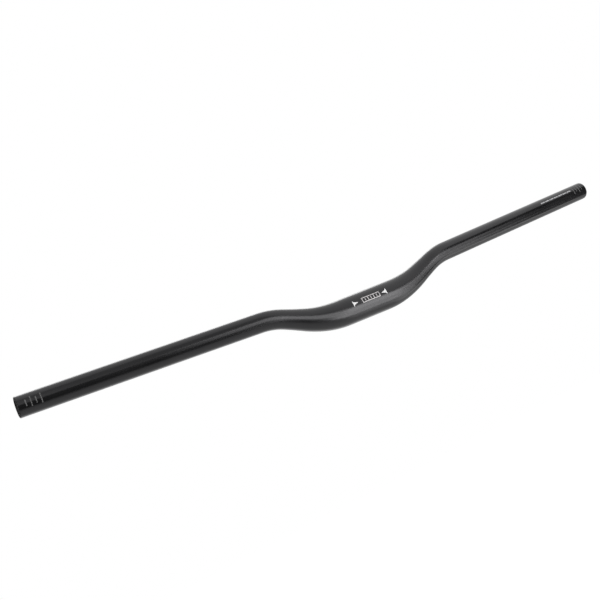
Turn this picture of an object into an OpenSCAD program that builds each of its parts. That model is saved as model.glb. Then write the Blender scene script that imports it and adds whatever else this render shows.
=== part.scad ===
// Riser handlebar for a mountain bicycle: one aluminium tube, swaged from the clamp
// diameter down to the grip diameter, butted inside and bent twice on each side.
// The origin is the middle of the clamp zone. X runs along the bar, +Y points back
// to the rider and +Z points up.

/* [Overall] */
// Width from the centre of one end to the centre of the other
bar_w = 800; // [680:1:840]
// Height above the clamp axis at which the grips start
rise = 23.7; // [22:0.1:45]
// Angle by which the grips point back
backsweep = 5; // [3:0.5:9]
// Angle by which the grips point up
upsweep = 2; // [0:0.5:4]

/* [Tube] */
// Outer diameter where the stem clamps
clamp_d = 31.8; // [30:0.1:35]
// Length of the full clamp diameter
clamp_len = 50; // [40:1:56]
// Outer diameter of the grips
grip_d = 22.2; // [21:0.1:24]
// Length along the tube over which it tapers on each side
taper_len = 90; // [70:1:92]
// Wall in the clamp zone
clamp_wall = 2.4; // [2:0.1:3.5]
// Wall in the grips
grip_wall = 2; // [1.4:0.1:2.8]
// Chamfer round the outer edge of each end
end_chamfer = 0.6; // [0.2:0.1:1.2]

/* [Bends] */
// Straight length at the centre, between the first bends
centre_len = 60; // [56:1:80]
// Angle of the first bend, up from the clamp axis
first_angle = 20.5; // [18:0.5:23]
// Radius of the first bend, at the tube's axis
first_r = 148; // [125:1:160]
// Radius of the second bend, at the tube's axis
second_r = 88; // [70:1:100]

/* [Smoothness] */
// Sides of the bent stretches
sides = 32; // [24:4:36]
// Rings along each bent stretch
rings = 24; // [16:1:26]

/* [Hidden] */
$fn = 96;
bar_black = [0.13, 0.13, 0.14];

// Directions of the riser and of the grip on the +X side
riser_dir = [cos(first_angle), 0, sin(first_angle)];
grip_dir = [cos(upsweep) * cos(backsweep), cos(upsweep) * sin(backsweep), sin(upsweep)];

// The second bend turns the riser's direction into the grip's
second_angle = acos(riser_dir * grip_dir);
second_turn = unit(grip_dir - cos(second_angle) * riser_dir);

// What each bend adds, from its first tangent point to its second
first_step = first_r * [sin(first_angle), 0, 1 - cos(first_angle)];
second_step = second_r * (sin(second_angle) * riser_dir + (1 - cos(second_angle)) * second_turn);

// The riser between the bends makes up the rest of the rise
riser_len = (rise - first_step.z - second_step.z) / riser_dir.z;

// Distances along the axis at which each stretch ends, measured from the centre
first_start = centre_len / 2;
first_end = first_start + first_r * first_angle * PI / 180;
second_start = first_end + riser_len;
second_end = second_start + second_r * second_angle * PI / 180;

// Where each stretch of the axis starts
first_pos = [first_start, 0, 0];
riser_pos = first_pos + first_step;
second_pos = riser_pos + riser_len * riser_dir;
grip_pos = second_pos + second_step;

// The grips make up the rest of the width
grip_len = (bar_w / 2 - grip_pos.x) / grip_dir.x;

// The flat sides of the bent stretches keep this far from the round skins that they
// carry on, on the metal's side, so that flat and round never graze where they meet
skin_gap = 0.05;

// The bent stretches run this far on inside the straight tubes, so that they hold together
lap = 1;

function unit(v) = v / norm(v);
function turned(from, turn, a) = cos(a) * from + sin(a) * turn;
function bend_pos(start, from, turn, r, a) = start + r * (sin(a) * from + (1 - cos(a)) * turn);

// Point on the axis, and the axis's direction there, at the distance s from the centre
function axis_pos(s) =
    s < first_start ? [s, 0, 0]
    : s < first_end ? bend_pos(first_pos, [1, 0, 0], [0, 0, 1], first_r,
                               (s - first_start) / first_r * 180 / PI)
    : s < second_start ? riser_pos + (s - first_end) * riser_dir
    : s < second_end ? bend_pos(second_pos, riser_dir, second_turn, second_r,
                                (s - second_start) / second_r * 180 / PI)
    : grip_pos + (s - second_end) * grip_dir;
function axis_dir(s) =
    s < first_start ? [1, 0, 0]
    : s < first_end ? turned([1, 0, 0], [0, 0, 1], (s - first_start) / first_r * 180 / PI)
    : s < second_start ? riser_dir
    : s < second_end ? turned(riser_dir, second_turn, (s - second_start) / second_r * 180 / PI)
    : grip_dir;

// The taper eases out of the clamp diameter and into the grip diameter
function taper_share(s) =
    let (t = min(1, max(0, (s - clamp_len / 2) / taper_len))) t * t * (3 - 2 * t);
function mixed(a, b, s) = a + (b - a) * taper_share(s);
function outer_r(s) = mixed(clamp_d, grip_d, s) / 2;
function inner_r(s) = outer_r(s) - mixed(clamp_wall, grip_wall, s);

// One ring of points round the axis, square to it, at the radius r
function ring(s, r) =
    let (t = axis_dir(s), side = unit(cross([0, 0, 1], t)), top = cross(t, side))
    [for (k = [0:sides - 1]) let (a = 360 * (k + 0.5) / sides)
        axis_pos(s) + r * (cos(a) * side + sin(a) * top)];

// Hollow tube from the clamp zone to the grip on the +X side, as one closed skin
module bent_stretch() {
    start = clamp_len / 2 - lap;
    step = (second_end + lap - start) / rings;
    stations = [for (i = [0:rings]) start + i * step];
    outer = [for (s = stations) each ring(s, outer_r(s) - skin_gap)];
    inner = [for (s = stations) each ring(s, (inner_r(s) + skin_gap) / cos(180 / sides))];
    n_outer = len(outer);
    function at(i, k) = i * sides + k % sides;
    skin = [for (i = [0:rings - 1], k = [0:sides - 1]) each [
        [at(i, k), at(i + 1, k), at(i + 1, k + 1)],
        [at(i, k), at(i + 1, k + 1), at(i, k + 1)],
        [n_outer + at(i, k), n_outer + at(i, k + 1), n_outer + at(i + 1, k + 1)],
        [n_outer + at(i, k), n_outer + at(i + 1, k + 1), n_outer + at(i + 1, k)]]];
    rims = [for (k = [0:sides - 1]) each [
        [at(0, k), at(0, k + 1), n_outer + at(0, k + 1), n_outer + at(0, k)],
        [at(rings, k), n_outer + at(rings, k), n_outer + at(rings, k + 1), at(rings, k + 1)]]];
    polyhedron(concat(outer, inner), concat(skin, rims), convexity = 6);
}

// Straight tube of the clamp zone
module clamp_zone() {
    rotate([0, 90, 0]) difference() {
        cylinder(d = clamp_d, h = clamp_len, center = true);
        cylinder(r = clamp_d / 2 - clamp_wall, h = clamp_len + 2 * lap, center = true);
    }
}

// Straight tube of the grip on the +X side, with its chamfered end
module grip() {
    body_len = grip_len - end_chamfer;
    translate(grip_pos) rotate([0, 90 - upsweep, backsweep]) difference() {
        union() {
            cylinder(d = grip_d, h = body_len);
            translate([0, 0, body_len])
                cylinder(r1 = grip_d / 2, r2 = grip_d / 2 - end_chamfer, h = end_chamfer);
        }
        translate([0, 0, -lap]) cylinder(r = grip_d / 2 - grip_wall, h = grip_len + 2 * lap);
    }
}

module handlebar() {
    color(bar_black) {
        clamp_zone();
        for (side = [0, 1]) mirror([side, 0, 0]) {
            bent_stretch();
            grip();
        }
    }
}

handlebar();
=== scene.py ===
"""Riser handlebar for a mountain bicycle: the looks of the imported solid.

One black aluminium tube, thick at the stem clamp and slim at the grips, with cut guides
at both ends and an alignment scale at the centre. Metres, in the frame of the solid:
the origin is the middle of the clamp zone, X runs along the bar, +Y points back to the
rider and +Z points up.
"""

import logging
import math
from dataclasses import dataclass
from enum import Enum
from functools import cached_property
from typing import Any

import bpy
from mathutils import Matrix, Vector


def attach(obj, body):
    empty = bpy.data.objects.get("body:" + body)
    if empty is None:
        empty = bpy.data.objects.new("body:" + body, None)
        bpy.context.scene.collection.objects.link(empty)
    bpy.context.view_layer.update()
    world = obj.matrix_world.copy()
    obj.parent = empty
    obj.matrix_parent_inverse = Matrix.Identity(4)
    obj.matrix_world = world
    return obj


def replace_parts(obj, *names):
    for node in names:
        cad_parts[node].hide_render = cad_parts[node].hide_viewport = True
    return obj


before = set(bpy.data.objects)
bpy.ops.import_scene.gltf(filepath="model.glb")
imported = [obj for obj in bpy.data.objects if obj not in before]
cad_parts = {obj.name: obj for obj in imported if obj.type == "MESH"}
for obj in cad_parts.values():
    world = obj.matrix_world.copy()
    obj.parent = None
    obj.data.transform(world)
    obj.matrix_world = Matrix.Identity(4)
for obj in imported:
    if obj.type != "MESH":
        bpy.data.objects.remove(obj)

LOG = logging.getLogger("handlebar")
MM = 0.001
BODY = "root"
NODE = "handlebar"
AHEAD = Vector((1.0, 0.0, 0.0))
UP = Vector((0.0, 0.0, 1.0))
WHITE = (1.0, 1.0, 1.0, 1.0)
BLACK = (0.0, 0.0, 0.0, 1.0)

Colour = tuple[float, float, float]


class End(Enum):
    """The two ends of the bar, by the sign of X."""

    RIDERS_RIGHT = -1
    RIDERS_LEFT = 1


# ------------------------------------------------------------------ sizes and axis


@dataclass(frozen=True)
class BarSizes:
    """Driving sizes of the tube, in metres and degrees."""

    width: float = 800 * MM
    rise: float = 23.7 * MM
    backsweep: float = 5.0
    upsweep: float = 2.0
    clamp_d: float = 31.8 * MM
    clamp_len: float = 50 * MM
    grip_d: float = 22.2 * MM
    taper_len: float = 90 * MM
    clamp_wall: float = 2.4 * MM
    grip_wall: float = 2.0 * MM
    end_chamfer: float = 0.6 * MM
    bore_chamfer: float = 0.3 * MM
    centre_len: float = 60 * MM
    first_angle: float = 20.5
    first_r: float = 148 * MM
    second_r: float = 88 * MM


class BarAxis:
    """The centre line of the tube, by distance from the middle of the bar."""

    def __init__(self, sizes: BarSizes) -> None:
        """Works out the straight and bent stretches of the +X half.

        Args:
            sizes: driving sizes of the tube.
        """
        self.sizes = sizes
        first = math.radians(sizes.first_angle)
        up, back = math.radians(sizes.upsweep), math.radians(sizes.backsweep)
        self.riser_dir = Vector((math.cos(first), 0.0, math.sin(first)))
        self.grip_dir = Vector(
            (math.cos(up) * math.cos(back), math.cos(up) * math.sin(back), math.sin(up)))
        second = self.riser_dir.angle(self.grip_dir)
        self.second_turn = (self.grip_dir - self.riser_dir * math.cos(second)).normalized()
        first_step = sizes.first_r * Vector((math.sin(first), 0.0, 1 - math.cos(first)))
        second_step = sizes.second_r * (
            math.sin(second) * self.riser_dir + (1 - math.cos(second)) * self.second_turn)
        riser_len = (sizes.rise - first_step.z - second_step.z) / self.riser_dir.z
        self.first_start = sizes.centre_len / 2
        self.first_end = self.first_start + sizes.first_r * first
        self.second_start = self.first_end + riser_len
        self.second_end = self.second_start + sizes.second_r * second
        self.first_pos = Vector((self.first_start, 0.0, 0.0))
        self.riser_pos = self.first_pos + first_step
        self.second_pos = self.riser_pos + riser_len * self.riser_dir
        self.grip_pos = self.second_pos + second_step
        self.half_len = self.second_end + (sizes.width / 2 - self.grip_pos.x) / self.grip_dir.x

    def _half(self, s: float) -> tuple[Vector, Vector]:
        """Point and direction on the +X half.

        Args:
            s: distance from the middle, not negative.

        Returns:
            The point and the unit direction there.
        """
        if s < self.first_start:
            return AHEAD * s, AHEAD
        if s < self.first_end:
            r = self.sizes.first_r
            return self._bend(self.first_pos, AHEAD, UP, r, (s - self.first_start) / r)
        if s < self.second_start:
            return self.riser_pos + (s - self.first_end) * self.riser_dir, self.riser_dir
        if s < self.second_end:
            r = self.sizes.second_r
            return self._bend(
                self.second_pos, self.riser_dir, self.second_turn, r, (s - self.second_start) / r)
        return self.grip_pos + (s - self.second_end) * self.grip_dir, self.grip_dir

    @staticmethod
    def _bend(
        start: Vector, ahead: Vector, turn: Vector, r: float, a: float,
    ) -> tuple[Vector, Vector]:
        """Point and direction on a bend.

        Args:
            start: where the bend starts.
            ahead: unit direction at its start.
            turn: unit direction to its centre.
            r: its radius.
            a: angle turned so far, in radians.

        Returns:
            The point and the unit direction there.
        """
        place = start + r * (math.sin(a) * ahead + (1 - math.cos(a)) * turn)
        return place, math.cos(a) * ahead + math.sin(a) * turn

    def at(self, s: float) -> tuple[Vector, Vector]:
        """Point and direction, towards +X, at a signed distance from the middle.

        Args:
            s: distance from the middle, negative on the -X half.

        Returns:
            The point and the unit direction there.
        """
        place, ahead = self._half(abs(s))
        if s < 0:
            place = Vector((-place.x, place.y, place.z))
            ahead = Vector((ahead.x, -ahead.y, -ahead.z))
        return place, ahead

    def stations(self, step: float) -> list[float]:
        """Distances at which the tube gets a ring, with one at each change of form.

        Args:
            step: largest gap between two rings.

        Returns:
            The signed distances, from the -X end to the +X end.
        """
        s = self.sizes
        marks = sorted({
            0.0, s.clamp_len / 2, s.clamp_len / 2 + s.taper_len,
            self.first_start, self.first_end, self.second_start, self.second_end,
            self.half_len - s.end_chamfer, self.half_len - s.bore_chamfer, self.half_len,
        })
        half: list[float] = [0.0]
        for start, end in zip(marks, marks[1:]):
            pieces = max(1, math.ceil((end - start) / step))
            half += [start + (end - start) * i / pieces for i in range(1, pieces + 1)]
        return [-h for h in reversed(half[1:])] + half

    def guide(self, step: float) -> bpy.types.Object:
        """A line of points along the axis that the trees read, deleted before the end.

        Args:
            step: largest gap between two points.

        Returns:
            An object whose points hold the station, the direction and the sideways unit.
        """
        stations = self.stations(step)
        rows = [self.at(s) for s in stations]
        mesh = bpy.data.meshes.new("axis_guide")
        edges = [(i, i + 1) for i in range(len(rows) - 1)]
        mesh.from_pydata([place for place, _ in rows], edges, [])
        mesh.attributes.new("station", "FLOAT", "POINT").data.foreach_set("value", stations)
        aheads = [ahead for _, ahead in rows]
        sides = [UP.cross(ahead).normalized() for ahead in aheads]
        for name, vectors in (("ahead", aheads), ("sideways", sides)):
            data = mesh.attributes.new(name, "FLOAT_VECTOR", "POINT").data
            data.foreach_set("vector", [part for vector in vectors for part in vector])
        return link(bpy.data.objects.new("axis_guide", mesh))


def link(obj: bpy.types.Object) -> bpy.types.Object:
    """Puts an object into the scene and returns it."""
    bpy.context.scene.collection.objects.link(obj)
    return obj


# ------------------------------------------------------------------ node trees


class NodeWriter:
    """Writes nodes into one tree, with short calls for the usual ones."""

    def __init__(self, tree: bpy.types.NodeTree) -> None:
        """Keeps the tree to write in."""
        self.tree = tree

    def node(
        self, kind: str, inputs: dict[Any, Any] | None = None, **settings: Any,
    ) -> bpy.types.Node:
        """Adds a node, sets it and feeds it.

        Args:
            kind: the node's type name.
            inputs: values or sockets by input name or index.
            **settings: the node's own properties.

        Returns:
            The node.
        """
        made = self.tree.nodes.new(kind)
        for name, value in settings.items():
            setattr(made, name, value)
        for key, value in (inputs or {}).items():
            self.feed(made.inputs[key], value)
        return made

    def feed(self, socket: bpy.types.NodeSocket, value: Any) -> None:
        """Feeds an input.

        Args:
            socket: the input.
            value: a socket, which is linked to it, or a plain value, which is set on it.
        """
        if isinstance(value, bpy.types.NodeSocket):
            self.tree.links.new(value, socket)
        else:
            socket.default_value = value

    def math(self, operation: str, *values: Any) -> bpy.types.NodeSocket:
        """A Math node's result."""
        inputs = dict(enumerate(values))
        return self.node("ShaderNodeMath", inputs, operation=operation).outputs[0]

    def vector(self, operation: str, *values: Any) -> bpy.types.NodeSocket:
        """A Vector Math node's vector."""
        inputs = dict(enumerate(values))
        return self.node("ShaderNodeVectorMath", inputs, operation=operation).outputs[0]

    def scaled(self, vector: Any, factor: Any) -> bpy.types.NodeSocket:
        """A vector times a number."""
        inputs = {0: vector, "Scale": factor}
        return self.node("ShaderNodeVectorMath", inputs, operation="SCALE").outputs[0]

    def combined(self, x: Any, y: Any, z: Any = 0.0) -> bpy.types.NodeSocket:
        """A vector from its three parts."""
        return self.node("ShaderNodeCombineXYZ", {"X": x, "Y": y, "Z": z}).outputs[0]

    def mixed(self, share: Any, start: Any, end: Any) -> bpy.types.NodeSocket:
        """A plain blend from start to end by a share from 0 to 1."""
        return self.math("MULTIPLY_ADD", self.math("SUBTRACT", end, start), share, start)


class GroupMaker(NodeWriter):
    """Makes one node group, with named inputs and outputs."""

    def __init__(self, name: str, kind: str) -> None:
        """Starts an empty group.

        Args:
            name: the group's name.
            kind: GeometryNodeTree or ShaderNodeTree.
        """
        super().__init__(bpy.data.node_groups.new(name, kind))
        self.source = self.tree.nodes.new("NodeGroupInput")
        self.sink = self.tree.nodes.new("NodeGroupOutput")

    def takes(self, kind: str, *names: str) -> None:
        """Adds named inputs of one socket type."""
        for name in names:
            self.tree.interface.new_socket(name, in_out="INPUT", socket_type=kind)

    def gives(self, kind: str, *names: str) -> None:
        """Adds named outputs of one socket type."""
        for name in names:
            self.tree.interface.new_socket(name, in_out="OUTPUT", socket_type=kind)

    def input(self, name: str) -> bpy.types.NodeSocket:
        """The socket of a named input."""
        return self.source.outputs[name]

    def finish(self, outputs: dict[str, bpy.types.NodeSocket]) -> bpy.types.NodeTree:
        """Feeds the outputs.

        Args:
            outputs: the socket for each named output.

        Returns:
            The finished group.
        """
        for name, socket in outputs.items():
            self.feed(self.sink.inputs[name], socket)
        return self.tree


class TubeMaker(GroupMaker):
    """Makes one geometry tree that reads the tube's axis and its attributes."""

    SIZE_INPUTS = ("Clamp Diameter", "Grip Diameter", "Clamp Length", "Taper Length")
    WELD = 1e-7  # metres within which two points become one
    SHARP_FOLD = math.radians(30)  # an edge that turns more than this isn't shaded smooth

    def __init__(self, name: str) -> None:
        """Starts a tree that gives a geometry."""
        super().__init__(name, "GeometryNodeTree")
        self.gives("NodeSocketGeometry", "Geometry")

    @cached_property
    def axis(self) -> bpy.types.NodeSocket:
        """The guide's line of points."""
        made = self.node("GeometryNodeObjectInfo", {"Object": self.input("Axis")})
        return made.outputs["Geometry"]

    def index(self) -> bpy.types.NodeSocket:
        """The number of each point."""
        return self.node("GeometryNodeInputIndex").outputs[0]

    def position(self) -> bpy.types.NodeSocket:
        """The place of each point."""
        return self.node("GeometryNodeInputPosition").outputs[0]

    def named(self, name: str, kind: str = "FLOAT") -> bpy.types.NodeSocket:
        """A named attribute of the geometry at hand."""
        made = self.node("GeometryNodeInputNamedAttribute", {"Name": name}, data_type=kind)
        return made.outputs["Attribute"]

    def sampled(self, value: Any, kind: str, point: Any) -> bpy.types.NodeSocket:
        """A value on the guide.

        Args:
            value: the value, as a field on the guide's points.
            kind: its data type.
            point: the number of the point.

        Returns:
            The value at that point.
        """
        return self.node("GeometryNodeSampleIndex", {
            "Geometry": self.axis, "Value": value, "Index": point,
        }, data_type=kind, clamp=True).outputs[0]

    def kept(
        self, shape: Any, name: str, value: Any, kind: str = "FLOAT", domain: str = "POINT",
    ) -> bpy.types.NodeSocket:
        """Keeps a value as a named attribute.

        Args:
            shape: the geometry that gets it.
            name: the attribute's name.
            value: the value, as a field on the geometry.
            kind: its data type.
            domain: what holds it, such as POINT or CORNER.

        Returns:
            The geometry with the attribute.
        """
        return self.node("GeometryNodeStoreNamedAttribute", {
            "Geometry": shape, "Name": name, "Value": value,
        }, data_type=kind, domain=domain).outputs[0]

    def moved(self, shape: Any, place: Any) -> bpy.types.NodeSocket:
        """The geometry with its points in new places."""
        inputs = {"Geometry": shape, "Position": place}
        return self.node("GeometryNodeSetPosition", inputs).outputs[0]

    def welded(self, shape: Any) -> bpy.types.NodeSocket:
        """The geometry with its seams closed."""
        inputs = {"Geometry": shape, "Distance": self.WELD}
        return self.node("GeometryNodeMergeByDistance", inputs).outputs[0]

    def smoothed(self, shape: Any) -> bpy.types.NodeSocket:
        """The geometry shaded smooth, but for its sharp edges.

        Args:
            shape: the geometry.

        Returns:
            The geometry with its shading set.
        """
        kind = "GeometryNodeSetShadeSmooth"
        inputs = {"Geometry": shape, "Shade Smooth": True}
        shape = self.node(kind, inputs, domain="FACE").outputs[0]
        fold = self.node("GeometryNodeInputMeshEdgeAngle").outputs["Unsigned Angle"]
        return self.node(kind, {
            "Geometry": shape,
            "Selection": self.math("GREATER_THAN", fold, self.SHARP_FOLD),
            "Shade Smooth": False,
        }, domain="EDGE").outputs[0]

    def realized(self, shape: Any) -> bpy.types.NodeSocket:
        """The geometry with its instances made real."""
        return self.node("GeometryNodeRealizeInstances", {"Geometry": shape}).outputs[0]

    def dressed(self, shape: Any, chosen: Any, finish: str) -> bpy.types.NodeSocket:
        """The geometry with a finish on the chosen faces.

        Args:
            shape: the geometry.
            chosen: which faces, as a field or True for all.
            finish: the name of the input that holds the finish.

        Returns:
            The geometry with the finish.
        """
        return self.node("GeometryNodeSetMaterial", {
            "Geometry": shape, "Selection": chosen, "Material": self.input(finish),
        }).outputs[0]

    def spoke(self, ahead: Any, side: Any, turn: Any) -> bpy.types.NodeSocket:
        """A unit direction across the tube.

        Args:
            ahead: unit direction along the axis.
            side: unit direction to the side of it, level.
            turn: angle from the top towards that side, in radians.

        Returns:
            The direction from the axis outwards.
        """
        top = self.vector("CROSS_PRODUCT", ahead, side)
        return self.vector("ADD", self.scaled(top, self.math("COSINE", turn)),
                           self.scaled(side, self.math("SINE", turn)))


class TubeTrees:
    """The geometry trees that make the tube and wrap print round it."""

    HALF_STEP = 0.5  # added or taken off, so that rounding can't tip a test of whole numbers
    END_MARGIN = 0.01 * MM  # how far past the chamfer a ring still counts as the cut end
    ALL = 0.9  # a face takes the mean of its points, and over this all of them are marked

    def __init__(self) -> None:
        """Builds the shared radius group first, then the tree that wraps with it."""
        self.radius = self._radius_tree()
        self.wrap = self._wrap_tree()

    @staticmethod
    def _radius_tree() -> bpy.types.NodeTree:
        """The tube's outer radius and its share of the taper at a station.

        Returns:
            The node group.
        """
        t = GroupMaker("tube radius", "GeometryNodeTree")
        t.takes("NodeSocketFloat", "Station", *TubeMaker.SIZE_INPUTS)
        t.gives("NodeSocketFloat", "Radius", "Share")
        start = t.math("MULTIPLY", t.input("Clamp Length"), 0.5)
        share = t.node("ShaderNodeMapRange", {
            "Value": t.math("ABSOLUTE", t.input("Station")),
            "From Min": start,
            "From Max": t.math("ADD", start, t.input("Taper Length")),
        }, interpolation_type="SMOOTHSTEP").outputs["Result"]
        across = t.mixed(share, t.input("Clamp Diameter"), t.input("Grip Diameter"))
        return t.finish({"Radius": t.math("MULTIPLY", across, 0.5), "Share": share})

    def _radius_at(self, t: TubeMaker, station: Any) -> bpy.types.Node:
        """Places the radius group in a tree.

        Args:
            t: the tree, whose own size inputs feed the group.
            station: the signed distance along the axis.

        Returns:
            The group's node.
        """
        sizes = {name: t.input(name) for name in t.SIZE_INPUTS}
        return t.node("GeometryNodeGroup", {"Station": station, **sizes}, node_tree=self.radius)

    def _wrap_tree(self) -> bpy.types.NodeTree:
        """Bends flat print round the tube.

        The flat print has the station as X, the way round the tube from the print's middle
        line as Y and the height over the skin as Z, all in metres.

        Returns:
            The node group.
        """
        t = TubeMaker("wrap round tube")
        t.takes("NodeSocketGeometry", "Geometry")
        t.takes("NodeSocketObject", "Axis")
        t.takes("NodeSocketFloat", *t.SIZE_INPUTS, "Middle Angle")
        line = t.node("GeometryNodeMeshToCurve", {"Mesh": t.axis}).outputs["Curve"]
        total = t.node("GeometryNodeCurveLength", {"Curve": line}).outputs["Length"]
        flat = t.node("ShaderNodeSeparateXYZ", {0: t.position()})
        station, round_way, height = flat.outputs["X"], flat.outputs["Y"], flat.outputs["Z"]
        sample = t.node("GeometryNodeSampleCurve", {
            "Curves": line,
            "Value": t.named("sideways", "FLOAT_VECTOR"),
            "Length": t.math("MULTIPLY_ADD", total, 0.5, station),
        }, mode="LENGTH", data_type="FLOAT_VECTOR", use_all_curves=True)
        side = t.vector("NORMALIZE", sample.outputs["Value"])
        radius = self._radius_at(t, station).outputs["Radius"]
        turn = t.math("ADD", t.input("Middle Angle"), t.math("DIVIDE", round_way, radius))
        spoke = t.spoke(sample.outputs["Tangent"], side, turn)
        reach = t.scaled(spoke, t.math("ADD", radius, height))
        place = t.vector("ADD", sample.outputs["Position"], reach)
        return t.finish({"Geometry": t.moved(t.input("Geometry"), place)})

    def tube(self) -> bpy.types.NodeTree:
        """The hollow tube with its taper, chamfers and bore.

        A flat grid is rolled up: its columns go round the tube, and its rows run out along
        the skin, back through the bore and on to the first ring again.

        Returns:
            The tree.
        """
        t = TubeMaker("bent butted tube")
        t.takes("NodeSocketObject", "Axis")
        t.takes("NodeSocketFloat", *t.SIZE_INPUTS, "Clamp Wall", "Grip Wall",
                "End Chamfer", "Bore Chamfer")
        t.takes("NodeSocketInt", "Sides")
        t.takes("NodeSocketMaterial", "Skin Finish", "Bore Finish", "End Finish")
        count = t.node("GeometryNodeAttributeDomainSize",
                       {"Geometry": t.axis}).outputs["Point Count"]
        last = t.math("SUBTRACT", count, 1.0)
        rings = t.math("MULTIPLY", count, 2.0)
        columns = t.math("ADD", t.input("Sides"), 1.0)
        grid = t.node("GeometryNodeMeshGrid", {
            "Vertices X": t.math("ADD", rings, 1.0), "Vertices Y": columns,
        }).outputs["Mesh"]
        index = t.index()
        row = t.math("FLOOR", t.math("DIVIDE", t.math("ADD", index, self.HALF_STEP), columns))
        column = t.math("SUBTRACT", index, t.math("MULTIPLY", row, columns))
        closing = t.math("GREATER_THAN", row, t.math("SUBTRACT", rings, self.HALF_STEP))
        ring = t.math("SUBTRACT", row, t.math("MULTIPLY", closing, rings))
        in_bore = t.math("GREATER_THAN", ring, t.math("SUBTRACT", count, self.HALF_STEP))
        # the bore starts at the last point again, and its rings run back from there
        past_last = t.math("SUBTRACT", t.math("SUBTRACT", ring, last), in_bore)
        point = t.math("SUBTRACT", last, t.math("ABSOLUTE", past_last))
        station = t.sampled(t.named("station"), "FLOAT", point)
        half_len = t.sampled(t.named("station"), "FLOAT", last)
        ahead = t.sampled(t.named("ahead", "FLOAT_VECTOR"), "FLOAT_VECTOR", point)
        side = t.sampled(t.named("sideways", "FLOAT_VECTOR"), "FLOAT_VECTOR", point)
        middle = t.sampled(t.position(), "FLOAT_VECTOR", point)
        radius = self._radius_at(t, station)
        skin = radius.outputs["Radius"]
        to_end = t.math("SUBTRACT", half_len, t.math("ABSOLUTE", station))
        past_chamfer = t.math("SUBTRACT", to_end, t.input("End Chamfer"))
        lip = t.math("MULTIPLY_ADD", t.input("Grip Diameter"), 0.5, past_chamfer)
        outer = t.math("MINIMUM", skin, lip)
        wall = t.mixed(radius.outputs["Share"], t.input("Clamp Wall"), t.input("Grip Wall"))
        flare = t.math("MAXIMUM", 0.0, t.math("SUBTRACT", t.input("Bore Chamfer"), to_end))
        inner = t.math("ADD", t.math("SUBTRACT", skin, wall), flare)
        turn = t.math("MULTIPLY", t.math("DIVIDE", column, t.input("Sides")), math.tau)
        reach = t.scaled(t.spoke(ahead, side, turn), t.mixed(in_bore, outer, inner))
        end_reach = t.math("ADD", t.input("End Chamfer"), self.END_MARGIN)
        at_end = t.math("LESS_THAN", to_end, end_reach)
        shape = grid
        for name, value in (("bore", in_bore), ("station", station), ("end", at_end),
                            ("turn", turn)):
            shape = t.kept(shape, name, value)
        shape = t.moved(shape, t.vector("ADD", middle, reach))
        round_way = t.math("MULTIPLY", t.named("turn"), 0.5 * BarSizes.grip_d)
        unrolled = t.combined(t.named("station"), round_way)
        shape = t.smoothed(t.welded(t.kept(shape, "UVMap", unrolled, "FLOAT2", "CORNER")))
        shape = t.dressed(t.realized(shape), True, "Skin Finish")
        for name, finish in (("bore", "Bore Finish"), ("end", "End Finish")):
            shape = t.dressed(shape, t.math("GREATER_THAN", t.named(name), self.ALL), finish)
        return t.finish({"Geometry": shape})

    def strokes(self) -> bpy.types.NodeTree:
        """A row of printed strokes, each a closed film of ink on the skin.

        A stroke has Length along the bar and Short Width or Long Width round it, taken in
        turn. Tail and Head are the shares of that width at its -X and +X end.

        Returns:
            The tree.
        """
        t = TubeMaker("row of strokes")
        t.takes("NodeSocketObject", "Axis")
        t.takes("NodeSocketFloat", *t.SIZE_INPUTS, "Middle Angle", "Start Along", "Start Round",
                "Step Along", "Step Round", "Length", "Short Width", "Long Width", "Tail",
                "Head", "Film")
        t.takes("NodeSocketInt", "Count", "Pieces Along", "Pieces Round")
        t.takes("NodeSocketMaterial", "Ink")
        slab = t.node("GeometryNodeMeshCube", {
            "Size": (1.0, 1.0, 1.0), "Vertices Z": 2,
            "Vertices X": t.math("ADD", t.input("Pieces Along"), 1.0),
            "Vertices Y": t.math("ADD", t.input("Pieces Round"), 1.0),
        }).outputs["Mesh"]
        x, y, z = t.node("ShaderNodeSeparateXYZ", {0: t.position()}).outputs
        share = t.mixed(t.math("ADD", x, 0.5), t.input("Tail"), t.input("Head"))
        slab = t.moved(slab, t.combined(x, t.math("MULTIPLY", y, share), z))
        points = t.node("GeometryNodeMeshLine", {
            "Count": t.input("Count"),
            "Start Location": t.combined(t.input("Start Along"), t.input("Start Round")),
            "Offset": t.combined(t.input("Step Along"), t.input("Step Round")),
        }, mode="OFFSET").outputs[0]
        odd = t.math("MODULO", t.index(), 2.0)
        width = t.mixed(odd, t.input("Short Width"), t.input("Long Width"))
        size = t.combined(t.input("Length"), width, t.input("Film"))
        inputs = {"Points": points, "Instance": slab, "Scale": size}
        placed = t.node("GeometryNodeInstanceOnPoints", inputs).outputs[0]
        wrap = t.node("GeometryNodeGroup", {"Geometry": t.welded(t.realized(placed))} | {
            name: t.input(name) for name in ("Axis", *t.SIZE_INPUTS, "Middle Angle")
        }, node_tree=self.wrap)
        return t.finish({"Geometry": t.dressed(t.smoothed(wrap.outputs[0]), True, "Ink")})


def grown(name: str, tree: bpy.types.NodeTree, values: dict[str, Any]) -> bpy.types.Object:
    """Runs a geometry tree once and keeps what it makes as a plain mesh.

    Args:
        name: the piece's name.
        tree: the tree that makes it.
        values: the tree's inputs by name.

    Returns:
        An object that holds the plain mesh and no modifier.
    """
    seed = name + "_seed"
    carrier = link(bpy.data.objects.new(seed, bpy.data.meshes.new(seed)))
    modifier = carrier.modifiers.new("grow", "NODES")
    modifier.node_group = tree
    for item in tree.interface.items_tree:
        if item.item_type == "SOCKET" and item.in_out == "INPUT":
            modifier[item.identifier] = values[item.name]
    graph = bpy.context.evaluated_depsgraph_get()
    mesh = bpy.data.meshes.new_from_object(carrier.evaluated_get(graph), depsgraph=graph)
    carrier.modifiers.clear()
    bpy.data.objects.remove(carrier, do_unlink=True)
    mesh.name = name
    return link(bpy.data.objects.new(name, mesh))


# ------------------------------------------------------------------ finishes


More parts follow.
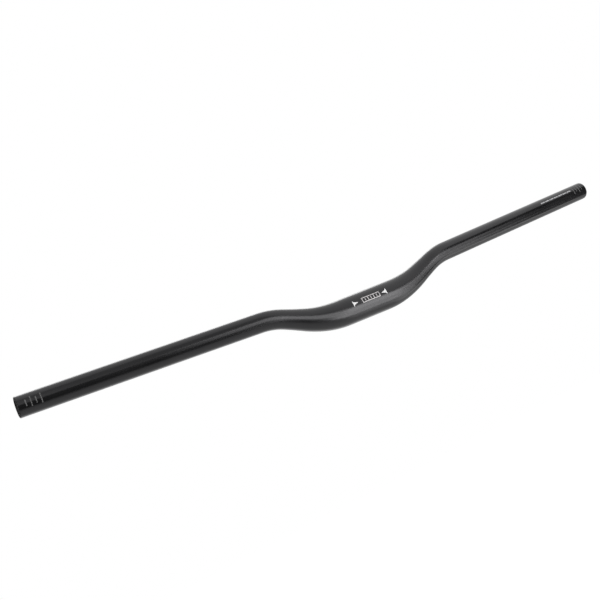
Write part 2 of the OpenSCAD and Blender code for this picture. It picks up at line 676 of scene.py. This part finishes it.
class Effects:
    """Shader groups that more than one finish uses, built once."""

    FINE_DETAIL = 2.0
    SLOW_DETAIL = 3.0
    HOLE_DETAIL = 3.0
    NOISE_MIDDLE = 0.5
    WEAR_BLUR = 0.06  # half the step from worn to whole, in shares of the noise

    def __init__(self) -> None:
        """Builds the groups."""
        self.grain = self._grain()
        self.wear = self._wear()

    @staticmethod
    def _noise(t: GroupMaker, scale: str, detail: float) -> bpy.types.NodeSocket:
        """Noise on a group's own vector.

        Args:
            t: the group.
            scale: the name of the input that holds the noise's scale.
            detail: how many finer layers it has.

        Returns:
            The noise, from 0 to 1.
        """
        return t.node("ShaderNodeTexNoise", {
            "Vector": t.input("Vector"), "Scale": t.input(scale), "Detail": detail,
        }).outputs[0]

    def _grain(self) -> bpy.types.NodeTree:
        """Fine grain with a slow variation under it.

        Returns:
            A group that gives a roughness, a height and a mask.
        """
        t = GroupMaker("metal grain", "ShaderNodeTree")
        t.takes("NodeSocketVector", "Vector")
        t.takes("NodeSocketFloat", "Grain Scale", "Cloud Scale", "Roughness", "Spread")
        t.gives("NodeSocketFloat", "Roughness", "Height", "Mask")
        fine = self._noise(t, "Grain Scale", self.FINE_DETAIL)
        slow = self._noise(t, "Cloud Scale", self.SLOW_DETAIL)
        swing = t.math("SUBTRACT", slow, self.NOISE_MIDDLE)
        rough = t.math("MULTIPLY_ADD", swing, t.input("Spread"), t.input("Roughness"))
        return t.finish({"Roughness": rough, "Height": fine, "Mask": slow})

    def _wear(self) -> bpy.types.NodeTree:
        """Pinholes and rubbed patches in a thin coat of ink.

        Returns:
            A group that gives the share of ink that is left.
        """
        t = GroupMaker("ink wear", "ShaderNodeTree")
        t.takes("NodeSocketVector", "Vector")
        t.takes("NodeSocketFloat", "Hole Scale", "Wear")
        t.gives("NodeSocketFloat", "Cover")
        cover = t.node("ShaderNodeMapRange", {
            "Value": self._noise(t, "Hole Scale", self.HOLE_DETAIL),
            "From Min": t.math("SUBTRACT", t.input("Wear"), self.WEAR_BLUR),
            "From Max": t.math("ADD", t.input("Wear"), self.WEAR_BLUR),
        }, interpolation_type="SMOOTHSTEP").outputs["Result"]
        return t.finish({"Cover": cover})


class MaterialMaker(NodeWriter):
    """Makes one material."""

    def __init__(self, name: str) -> None:
        """Starts a material with its shader.

        Args:
            name: the material's name.
        """
        self.material = bpy.data.materials.new(name)
        self.material.use_nodes = True
        super().__init__(self.material.node_tree)
        self.shader = self.tree.nodes["Principled BSDF"]

    def sets(self, values: dict[str, Any]) -> None:
        """Feeds the shader's inputs by name."""
        for name, value in values.items():
            self.feed(self.shader.inputs[name], value)


@dataclass(frozen=True)
class Grain:
    """The fine grain of a surface; scales per metre, relief in metres."""

    roughness: float
    spread: float
    grain_scale: float
    cloud_scale: float
    relief: float
    bump: float


class FinishMaker(MaterialMaker):
    """Makes one finish, whose gloss and relief come from the metal grain."""

    def __init__(self, name: str, effects: Effects, grain: Grain) -> None:
        """Starts a finish.

        Args:
            name: the material's name.
            effects: the shared shader groups.
            grain: the grain of the surface.
        """
        super().__init__(name)
        self.place = self.node("ShaderNodeTexCoord").outputs["Object"]
        self.grain = self.placed(effects.grain, {
            "Grain Scale": grain.grain_scale, "Cloud Scale": grain.cloud_scale,
            "Roughness": grain.roughness, "Spread": grain.spread,
        })
        bump = self.node("ShaderNodeBump", {
            "Strength": grain.bump, "Distance": grain.relief,
            "Height": self.grain.outputs["Height"],
        })
        self.sets({"Roughness": self.grain.outputs["Roughness"], "Normal": bump.outputs[0]})

    def placed(self, group: bpy.types.NodeTree, values: dict[str, float]) -> bpy.types.Node:
        """Places a shader group on the piece's own coordinates."""
        return self.node("ShaderNodeGroup", {"Vector": self.place, **values}, node_tree=group)

    def coloured(
        self, mask: bpy.types.NodeSocket, low: tuple[float, Colour], high: tuple[float, Colour],
    ) -> None:
        """Colours the surface by a mask.

        Args:
            mask: a value from 0 to 1 that changes over the surface.
            low: the value up to which the first colour holds, and that colour.
            high: the value from which the second colour holds, and that colour.
        """
        ramp = self.node("ShaderNodeValToRGB", {0: mask})
        for stop, (position, colour) in zip(ramp.color_ramp.elements, (low, high)):
            stop.position, stop.color = position, (*colour, 1.0)
        self.sets({"Base Color": ramp.outputs[0]})


@dataclass(frozen=True)
class MetalFinish:
    """A dyed or sawn metal surface with a fine grain.

    Its colour goes from dark to light where the slow variation, which runs from 0 to 1, goes
    from dark_to to light_from.
    """

    name: str
    dark: Colour
    light: Colour
    grain: Grain
    specular: float = 0.5
    tint: Colour = (1.0, 1.0, 1.0)
    dark_to: float = 0.3
    light_from: float = 0.7

    def build(self, effects: Effects) -> bpy.types.Material:
        """Makes the material.

        Args:
            effects: the shared shader groups.

        Returns:
            The material.
        """
        t = FinishMaker(self.name, effects, self.grain)
        t.sets({"Specular IOR Level": self.specular, "Specular Tint": (*self.tint, 1.0)})
        mask = t.grain.outputs["Mask"]
        t.coloured(mask, (self.dark_to, self.dark), (self.light_from, self.light))
        return t.material


@dataclass(frozen=True)
class InkFinish:
    """A thin matt ink, printed on the dyed tube and a little worn.

    The colour under it shows where the noise of the wear is less than wear.
    """

    name: str
    colour: Colour
    wear: float
    under: Colour = (0.01, 0.01, 0.0105)
    hole_scale: float = 1400.0
    grain: Grain = Grain(roughness=0.45, spread=0.1, grain_scale=3000.0, cloud_scale=25.0,
                         relief=0.02 * MM, bump=0.3)

    def build(self, effects: Effects) -> bpy.types.Material:
        """Makes the material.

        Args:
            effects: the shared shader groups.

        Returns:
            The material.
        """
        t = FinishMaker(self.name, effects, self.grain)
        wear = t.placed(effects.wear, {"Hole Scale": self.hole_scale, "Wear": self.wear})
        t.coloured(wear.outputs["Cover"], (0.0, self.under), (1.0, self.colour))
        return t.material


# ------------------------------------------------------------------ sub-assemblies


@dataclass
class Handlebar:
    """The bent tube, with the axis and the trees that its print shares."""

    sizes: BarSizes
    sides: int = 96
    ring_step: float = 4 * MM

    def __post_init__(self) -> None:
        """Works out the axis and builds the trees."""
        self.axis = BarAxis(self.sizes)
        self.guide = self.axis.guide(self.ring_step)
        self.trees = TubeTrees()

    def values(self) -> dict[str, Any]:
        """The inputs that every tree takes.

        Returns:
            The values by the inputs' names.
        """
        return {
            "Axis": self.guide,
            "Clamp Diameter": self.sizes.clamp_d,
            "Grip Diameter": self.sizes.grip_d,
            "Clamp Length": self.sizes.clamp_len,
            "Taper Length": self.sizes.taper_len,
        }

    def tube(
        self, skin: bpy.types.Material, bore: bpy.types.Material, end: bpy.types.Material,
    ) -> bpy.types.Object:
        """The hollow tube.

        Args:
            skin: finish of the outside.
            bore: finish of the inside.
            end: finish of the two cut ends.

        Returns:
            The finished piece.
        """
        return grown("bar_tube", self.trees.tube(), {
            **self.values(),
            "Clamp Wall": self.sizes.clamp_wall,
            "Grip Wall": self.sizes.grip_wall,
            "End Chamfer": self.sizes.end_chamfer,
            "Bore Chamfer": self.sizes.bore_chamfer,
            "Sides": self.sides,
            "Skin Finish": skin,
            "Bore Finish": bore,
            "End Finish": end,
        })

    def clear(self) -> None:
        """Deletes the guide once the trees have run."""
        bpy.data.objects.remove(self.guide, do_unlink=True)


@dataclass(frozen=True)
class StrokeRow:
    """A row of printed strokes; lengths in metres, the angle in degrees.

    The angle is that of the row's middle line, from the top of the tube towards the rider.
    The two widths are taken in turn, and a stroke with one width has it twice.
    """

    angle: float
    start_along: float
    length: float
    widths: tuple[float, float]
    step_along: float = 0.0
    count: int = 1
    start_round: float = 0.0
    step_round: float = 0.0
    tail: float = 1.0
    head: float = 1.0
    pieces_along: int = 1
    pieces_round: int = 12


@dataclass
class Print:
    """The generic print: cut guides at both ends, a dashed line and a clamp scale.

    Lengths in metres, and angles in degrees from the top of the tube towards the rider. Half
    of the film's thickness is sunk in the skin.
    """

    bar: Handlebar
    film: float = 0.06 * MM
    cut_first: float = 8.4 * MM
    cut_step: float = 5.2 * MM
    cut_line: float = 1.1 * MM
    cut_widths: tuple[float, float] = (6.8 * MM, 10.6 * MM)
    cut_count: int = 4
    cut_angle_right: float = 278.0
    cut_angle_left: float = 295.0
    dash_start: float = 317.5 * MM
    dash_step: float = 9.0 * MM
    dash_length: float = 7.8 * MM
    dash_width: float = 1.7 * MM
    dash_count: int = 7
    dash_angle: float = 301.0
    scale_angle: float = 290.0
    scale_middle: float = 1.5 * MM
    scale_half: float = 12.5 * MM
    scale_height: float = 6.4 * MM
    scale_line: float = 0.9 * MM
    scale_ticks: int = 7
    arrow_reach: float = 20.2 * MM
    arrow_length: float = 7.0 * MM
    arrow_width: float = 7.0 * MM
    thin_pieces: int = 2

    def __post_init__(self) -> None:
        """Builds the tree that every row shares."""
        self.tree = self.bar.trees.strokes()

    def _row(self, name: str, row: StrokeRow, ink: bpy.types.Material) -> bpy.types.Object:
        """Prints a row of strokes.

        Args:
            name: the piece's name.
            row: sizes of the row.
            ink: its finish.

        Returns:
            The finished piece.
        """
        return grown(name, self.tree, {
            **self.bar.values(),
            "Middle Angle": math.radians(row.angle),
            "Start Along": row.start_along, "Start Round": row.start_round,
            "Step Along": row.step_along, "Step Round": row.step_round,
            "Length": row.length, "Short Width": row.widths[0], "Long Width": row.widths[1],
            "Tail": row.tail, "Head": row.head, "Film": self.film, "Count": row.count,
            "Pieces Along": row.pieces_along, "Pieces Round": row.pieces_round,
            "Ink": ink,
        })

    def cut_guides(self, end: End, ink: bpy.types.Material) -> bpy.types.Object:
        """Short and long marks by turns, where the bar may be sawn shorter.

        Args:
            end: the end of the bar that they mark.
            ink: their finish.

        Returns:
            The finished piece.
        """
        row = StrokeRow(
            self.cut_angle_right if end is End.RIDERS_RIGHT else self.cut_angle_left,
            end.value * (self.bar.axis.half_len - self.cut_first), self.cut_line,
            self.cut_widths, step_along=-end.value * self.cut_step, count=self.cut_count)
        return self._row(f"cut_guides_{end.name.lower()}", row, ink)

    def dashes(self, ink: bpy.types.Material) -> bpy.types.Object:
        """A dashed line along the grip on the rider's left.

        Args:
            ink: its finish.

        Returns:
            The finished piece.
        """
        row = StrokeRow(
            self.dash_angle, self.dash_start, self.dash_length, (self.dash_width,) * 2,
            step_along=self.dash_step, count=self.dash_count, pieces_round=self.thin_pieces)
        return self._row("dashed_line", row, ink)

    def clamp_scale(self, ink: bpy.types.Material) -> list[bpy.types.Object]:
        """Two rails with ticks between them, for the roll of the bar in its stem.

        Args:
            ink: their finish.

        Returns:
            The finished pieces.
        """
        half_gap = (self.scale_height - self.scale_line) / 2
        rails = StrokeRow(
            self.scale_angle, self.scale_middle, 2 * self.scale_half, (self.scale_line,) * 2,
            count=2, start_round=-half_gap, step_round=2 * half_gap,
            pieces_round=self.thin_pieces)
        reach = self.scale_half - self.scale_line / 2
        between = self.scale_height - 2 * self.scale_line
        ticks = StrokeRow(
            self.scale_angle, self.scale_middle - reach, self.scale_line,
            (between, self.scale_height / 2),
            step_along=2 * reach / (self.scale_ticks - 1), count=self.scale_ticks)
        return [self._row("scale_rails", rails, ink), self._row("scale_ticks", ticks, ink)]

    def arrows(self, ink: bpy.types.Material) -> list[bpy.types.Object]:
        """Two triangles that point at the scale from both sides.

        Args:
            ink: their finish.

        Returns:
            The finished pieces.
        """
        made = []
        for end in End:
            tail, head = (1.0, 0.0) if end is End.RIDERS_RIGHT else (0.0, 1.0)
            row = StrokeRow(
                self.scale_angle, end.value * self.arrow_reach, self.arrow_length,
                (self.arrow_width,) * 2, tail=tail, head=head)
            made.append(self._row(f"arrow_{end.name.lower()}", row, ink))
        return made


def mounted(piece: bpy.types.Object) -> bpy.types.Object:
    """Fixes a piece to the bar's body, and reports it.

    Args:
        piece: the finished piece.

    Returns:
        The same piece.
    """
    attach(piece, BODY)
    LOG.info("%s: %d faces", piece.name, len(piece.data.polygons))
    return piece


# ------------------------------------------------------------------ studio


def towards(azimuth: float, elevation: float = 0.0) -> Vector:
    """A unit direction from the bar's middle.

    Args:
        azimuth: radians from -Y towards +X.
        elevation: radians above the level.

    Returns:
        The direction.
    """
    level = math.cos(elevation)
    return Vector((math.sin(azimuth) * level, -math.cos(azimuth) * level, math.sin(elevation)))


@dataclass(frozen=True)
class Camera:
    """The photograph's viewpoint, by its turn and shift about the bar's middle.

    Angles in radians and lengths in metres, but the focal length and the image's width in
    pixels and the sensor's width in millimetres.
    """

    azimuth: float = -0.494
    elevation: float = -0.015
    roll: float = -0.376
    distance: float = 1138.809 * MM
    shift_right: float = 74.646 * MM
    shift_up: float = -4.823 * MM
    focal_px: float = 994.251
    image_px: float = 600.0
    sensor: float = 36.0

    def build(self) -> None:
        """Makes the camera and gives it to the scene."""
        back = towards(self.azimuth, self.elevation)
        level = (-back).cross(UP).normalized()
        upright = level.cross(-back)
        right = math.cos(self.roll) * level + math.sin(self.roll) * upright
        up = -math.sin(self.roll) * level + math.cos(self.roll) * upright
        data = bpy.data.cameras.new("camera")
        data.sensor_width = self.sensor
        data.lens = self.focal_px * self.sensor / self.image_px
        camera = link(bpy.data.objects.new("camera", data))
        turn = Matrix((right, up, back)).transposed().to_4x4()
        place = back * self.distance - right * self.shift_right - up * self.shift_up
        camera.matrix_world = Matrix.Translation(place) @ turn
        bpy.context.scene.camera = camera


@dataclass(frozen=True)
class SoftBox:
    """A soft lamp that faces the bar's middle, hidden from the camera alone.

    Angles in degrees, as seen from the bar's middle: azimuth from -Y towards +X, elevation
    above the level, and half of the width and of the height that the lamp covers.
    """

    name: str
    azimuth: float
    elevation: float
    half_width: float
    half_height: float
    radiance: float
    distance: float = 1.5

    def build(self) -> None:
        """Makes the lamp."""
        data = bpy.data.lights.new(self.name, "AREA")
        data.shape = "RECTANGLE"
        data.size = 2 * self.distance * math.tan(math.radians(self.half_width))
        data.size_y = 2 * self.distance * math.tan(math.radians(self.half_height))
        data.energy = self.radiance * math.pi * data.size * data.size_y
        away = towards(math.radians(self.azimuth), math.radians(self.elevation))
        turn = away.to_track_quat("Z", "Y").to_matrix().to_4x4()
        lamp = link(bpy.data.objects.new(self.name, data))
        lamp.matrix_world = Matrix.Translation(away * self.distance) @ turn
        lamp.visible_camera = False


@dataclass(frozen=True)
class Curtain:
    """A curtain round the bar's middle that only reflections see.

    It spans two azimuths, in degrees from -Y towards +X, and two heights, in metres. Its
    shade goes from 0, black, to 1, white.
    """

    name: str
    azimuths: tuple[float, float]
    heights: tuple[float, float]
    distance: float
    shade: float
    panels: int = 24

    def build(self) -> None:
        """Makes the curtain."""
        start, end = self.azimuths
        corners: list[Vector] = []
        for i in range(self.panels + 1):
            foot = towards(math.radians(start + (end - start) * i / self.panels)) * self.distance
            corners += [foot + UP * z for z in self.heights]
        faces = [(2 * i, 2 * i + 2, 2 * i + 3, 2 * i + 1) for i in range(self.panels)]
        mesh = bpy.data.meshes.new(self.name)
        mesh.from_pydata(corners, [], faces)
        t = MaterialMaker(self.name)
        t.sets({"Base Color": BLACK, "Specular IOR Level": 0.0,
                "Emission Color": WHITE, "Emission Strength": self.shade})
        mesh.materials.append(t.material)
        curtain = link(bpy.data.objects.new(self.name, mesh))
        curtain.visible_camera = curtain.visible_diffuse = curtain.visible_shadow = False
        curtain.visible_transmission = False


@dataclass(frozen=True)
class Studio:
    """A white room: a pale floor well below the bar, soft lamps, curtains and a surround.

    floor_seen and floor_mirrored are how strongly the floor shines to the camera and in a
    gloss, and surround_light how strongly the surround lights the bar, where 1 is white.
    """

    floor_z: float = -1.5
    floor_size: float = 12.0
    floor_paint: float = 0.6
    floor_seen: float = 0.9
    floor_mirrored: float = 0.24
    surround_light: float = 0.6
    # name, azimuth, elevation, half width, half height, radiance
    lamps: tuple[SoftBox, ...] = (
        SoftBox("key_lamp", 34.1, 0.0, 8.6, 12.0, 5.2),
        SoftBox("fill_lamp", 18.5, 6.5, 7.5, 15.0, 2.85),
        SoftBox("edge_lamp", 8.5, 7.5, 3.5, 17.0, 1.5),
        SoftBox("foot_lamp", 20.5, -20.0, 3.9, 13.0, 3.8),
        SoftBox("low_lamp", 35.0, -25.0, 10.5, 13.5, 3.9),
        SoftBox("side_lamp", 50.0, -12.5, 4.5, 19.5, 2.25),
        SoftBox("bridge_lamp", 59.2, -28.0, 5.0, 11.0, 1.9),
        SoftBox("corner_lamp", 66.5, -41.5, 20.5, 11.5, 1.0),
        SoftBox("back_lamp", 185.0, 34.0, 38.0, 9.0, 2.0),
        SoftBox("back_low_lamp", 185.0, -38.0, 38.0, 18.0, 0.6),
    )
    # name, azimuths, heights, distance, shade
    curtains: tuple[Curtain, ...] = (
        Curtain("dark_curtain", (-40.0, 80.0), (-1.5, 0.5), 1.9, 0.0),
        Curtain("dark_pelmet", (45.0, 80.0), (0.5, 0.85), 1.9, 0.0),
        Curtain("pale_curtain", (-40.0, -5.0), (0.5, 5.0), 1.95, 0.95),
        Curtain("grey_curtain", (-5.0, 30.0), (0.5, 5.0), 1.95, 0.46),
        Curtain("grey_skirt", (-40.0, 8.0), (-1.49, -1.25), 1.35, 0.4),
        Curtain("back_curtain", (100.0, 260.0), (-0.55, -0.12), 2.6, 0.45),
        Curtain("left_curtain", (-115.0, -41.0), (-1.2, 0.8), 2.2, 0.22),
        Curtain("left_band", (-115.0, -41.0), (0.8, 1.5), 2.2, 0.5),
        Curtain("right_curtain", (81.0, 106.0), (-1.2, 0.8), 2.2, 0.22),
        Curtain("right_band", (81.0, 106.0), (0.8, 1.5), 2.2, 0.5),
    )

    def build(self) -> None:
        """Makes the floor, the surround, the lamps and the curtains."""
        bpy.context.scene.view_settings.view_transform = "Standard"
        self._floor()
        self._surround()
        for item in (*self.lamps, *self.curtains):
            item.build()

    @staticmethod
    def _level(
        t: NodeWriter, plain: float, seen: float, mirrored: float,
    ) -> bpy.types.NodeSocket:
        """A strength that depends on the kind of ray.

        Args:
            t: the tree that gets the nodes.
            plain: strength as a light.
            seen: strength to the camera.
            mirrored: strength in a gloss and through a glass.

        Returns:
            The socket of the strength.
        """
        path = t.node("ShaderNodeLightPath")
        camera, gloss, glass = (
            t.node("ShaderNodeMapRange", {
                "Value": path.outputs[name], "To Min": plain, "To Max": top,
            }).outputs[0]
            for name, top in (("Is Camera Ray", seen), ("Is Glossy Ray", mirrored),
                              ("Is Transmission Ray", mirrored))
        )
        return t.math("MAXIMUM", t.math("MAXIMUM", camera, gloss), glass)

    def _floor(self) -> None:
        """A plain pale floor that shows white and keeps the shadow."""
        half = self.floor_size / 2
        corners = ((-half, -half), (half, -half), (half, half), (-half, half))
        mesh = bpy.data.meshes.new("floor")
        mesh.from_pydata([(x, y, self.floor_z) for x, y in corners], [], [(0, 1, 2, 3)])
        t = MaterialMaker("floor_paint")
        t.tree.nodes.clear()
        paint = t.node("ShaderNodeBsdfDiffuse", {"Color": (*(self.floor_paint,) * 3, 1.0)})
        shine = t.node("ShaderNodeEmission", {
            "Strength": self._level(t, 0.0, self.floor_seen, self.floor_mirrored),
        })
        both = t.node("ShaderNodeAddShader", {0: paint.outputs[0], 1: shine.outputs[0]})
        t.node("ShaderNodeOutputMaterial", {"Surface": both.outputs[0]})
        mesh.materials.append(t.material)
        link(bpy.data.objects.new("floor", mesh))

    def _surround(self) -> None:
        """The world: white to the camera and in reflections, softer as a light."""
        world = bpy.data.worlds.new("surround")
        bpy.context.scene.world = world
        world.use_nodes = True
        t = NodeWriter(world.node_tree)
        background = t.tree.nodes["Background"]
        t.feed(background.inputs["Strength"], self._level(t, self.surround_light, 1.0, 1.0))
        t.feed(background.inputs["Color"], WHITE)


def main() -> None:
    """Builds the bar, its print and the studio in order."""
    logging.basicConfig(level=logging.INFO, format="%(name)s: %(message)s")
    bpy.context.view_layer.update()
    effects = Effects()
    skin = MetalFinish(
        "bar_black", dark=(0.006, 0.006, 0.0065), light=(0.009, 0.009, 0.0095),
        grain=Grain(roughness=0.22, spread=0.05, grain_scale=2000.0, cloud_scale=25.0,
                    relief=0.012 * MM, bump=0.2),
        tint=(0.985, 0.975, 1.0)).build(effects)
    bore = MetalFinish(
        "bore_black", dark=(0.06, 0.06, 0.06), light=(0.09, 0.09, 0.09),
        grain=Grain(roughness=0.5, spread=0.1, grain_scale=1500.0, cloud_scale=40.0,
                    relief=0.05 * MM, bump=0.2)).build(effects)
    cut = MetalFinish(
        "cut_end_black", dark=(0.015, 0.015, 0.015), light=(0.03, 0.03, 0.03),
        grain=Grain(roughness=0.7, spread=0.1, grain_scale=2500.0, cloud_scale=60.0,
                    relief=0.03 * MM, bump=0.2),
        specular=0.2).build(effects)
    white = InkFinish("ink_white", (0.8, 0.8, 0.8), wear=0.3).build(effects)
    pale = InkFinish("ink_pale", (0.58, 0.56, 0.56), wear=0.32).build(effects)
    silver = InkFinish("ink_silver", (0.4, 0.4, 0.41), wear=0.38).build(effects)
    grey = InkFinish("ink_grey", (0.13, 0.13, 0.13), wear=0.42).build(effects)
    bar = Handlebar(BarSizes())
    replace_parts(mounted(bar.tube(skin, bore, cut)), NODE)
    marks = Print(bar)
    for end in End:
        mounted(marks.cut_guides(end, grey))
    mounted(marks.dashes(silver))
    for piece in (*marks.clamp_scale(pale), *marks.arrows(white)):
        mounted(piece)
    bar.clear()
    Camera().build()
    Studio().build()


if __name__ == "__main__":
    main()
